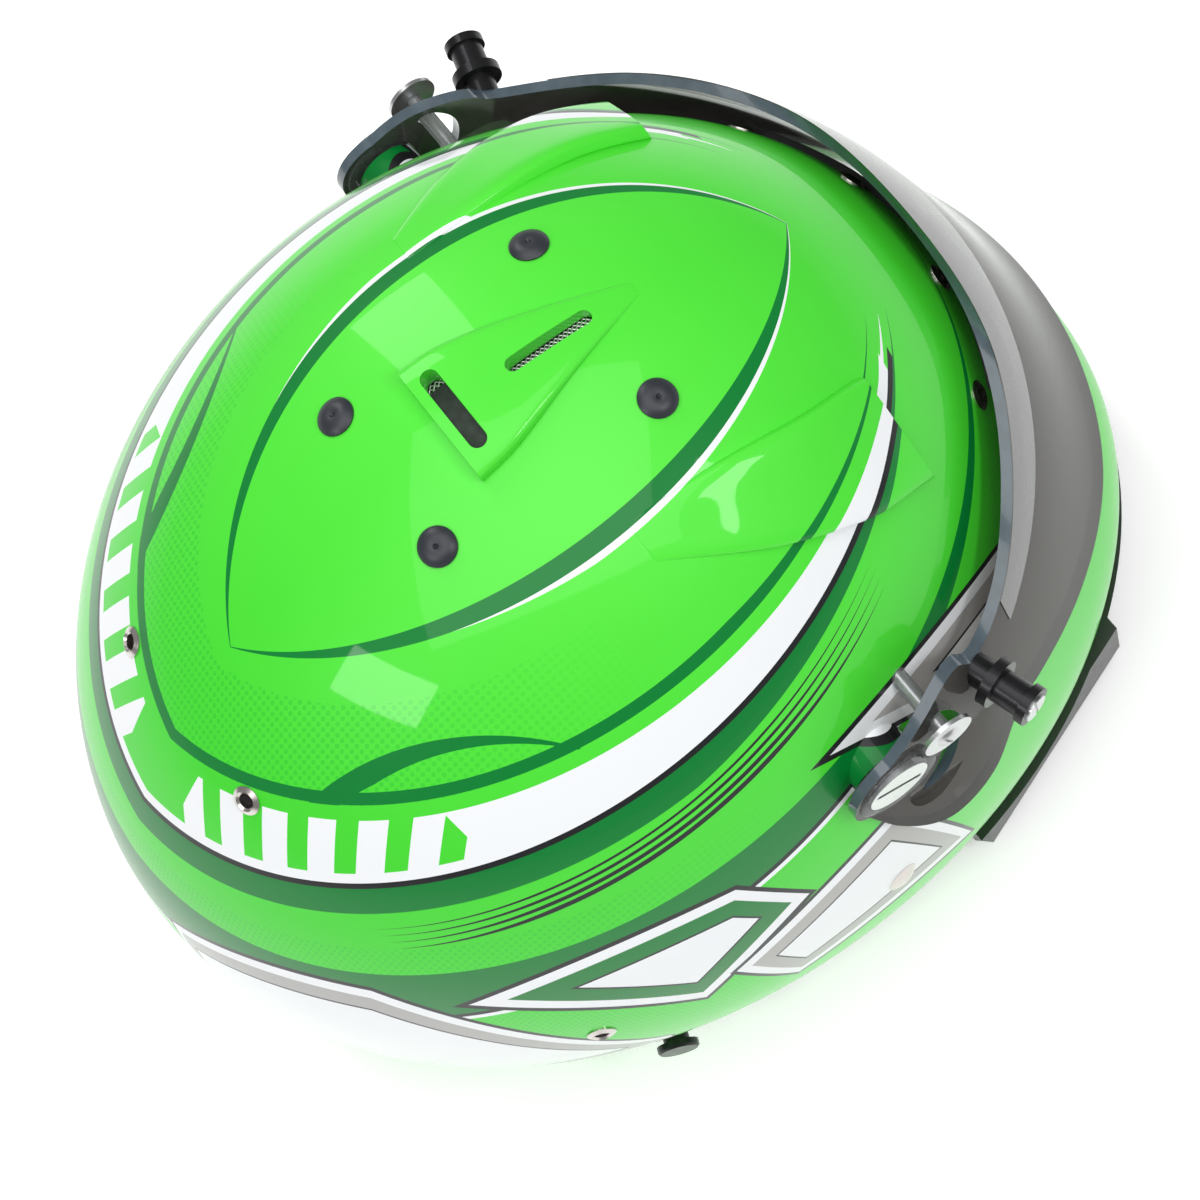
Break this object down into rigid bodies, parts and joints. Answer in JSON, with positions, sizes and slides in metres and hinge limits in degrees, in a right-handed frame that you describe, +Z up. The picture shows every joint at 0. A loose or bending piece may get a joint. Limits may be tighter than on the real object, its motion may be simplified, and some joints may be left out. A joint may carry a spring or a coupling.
{
  "type": "auto racing helmet",
  "caption": "Full-face racing helmet with a pivoting clear shield, lined inside, with chin strap, crown vents and chin spoiler",
  "frame": {"origin": "middle of the bounding box at its lowest level, on the surface the helmet stands on", "axes": "+Z up, -Y to the front where the face looks, +X to the wearer's left"},
  "size_m": [0.2586, 0.3208, 0.2558],
  "materials": {
    "shell_paint": "gloss clear coat",
    "black_rubber": "matt",
    "plug_rubber": "satin",
    "clear_shield": "clear, lightly smoked",
    "sun_film": "satin",
    "black_trim": "satin",
    "spoiler_black": "satin moulding",
    "anodised_black": "black anodised",
    "bright_metal": "turned and polished",
    "steel": "plain",
    "clear_plastic": "clear",
    "mesh_wire": "black",
    "impact_foam": "moulded beads",
    "lining_cloth": "brushed knit",
    "strap_web": "woven"
  },
  "bodies": {
    "helmet": {"shell": "shell_paint", "eyeport_gasket": "black_rubber", "edge_trim": "black_rubber", "brow_eyelets": "bright_metal", "side_eyelets": "bright_metal", "rear_eyelets": "bright_metal", "crown_plugs": "plug_rubber", "crown_vent_mesh": "mesh_wire", "wing_vent_mesh": "mesh_wire", "chin_spoiler": "spoiler_black", "spoiler_screws": "steel", "crown_liner": "impact_foam", "comfort_liner": "lining_cloth", "chin_foam": "impact_foam", "neck_roll": "lining_cloth", "strap_left": "strap_web", "strap_right": "strap_web", "cheek_pad_left": "lining_cloth", "cheek_pad_right": "lining_cloth", "pivot_bases": "black_trim", "pivot_screws": "bright_metal", "guide_sleeves": "clear_plastic", "guide_washers": "bright_metal", "guide_screws": "steel", "restraint_posts": "anodised_black", "restraint_nuts": "steel", "strap_rivets": "steel", "strap_anchors": "steel"},
    "shield": {"shield": "clear_shield", "sun_strip": "sun_film", "tear_off_posts": "anodised_black", "post_caps": "steel"},
    "ring_inner": {"d_ring_inner": "steel"},
    "ring_outer": {"d_ring_outer": "steel"}
  },
  "joints": [
    {"name": "shield_pivot", "type": "hinge", "parent": "helmet", "child": "shield", "pos_m": [0, -0.023, 0.165], "axis": [-1, 0, 0], "range_deg": [0, 100]},
    {"name": "inner_ring_swing", "type": "hinge", "parent": "helmet", "child": "ring_inner", "pos_m": [0.0534, -0.01162, 0.0396], "axis": [0, 1, 0], "range_deg": [0, 60]},
    {"name": "outer_ring_swing", "type": "hinge", "parent": "helmet", "child": "ring_outer", "pos_m": [0.057, -0.01162, 0.0396], "axis": [0, -1, 0], "range_deg": [0, 20]}
  ]
}
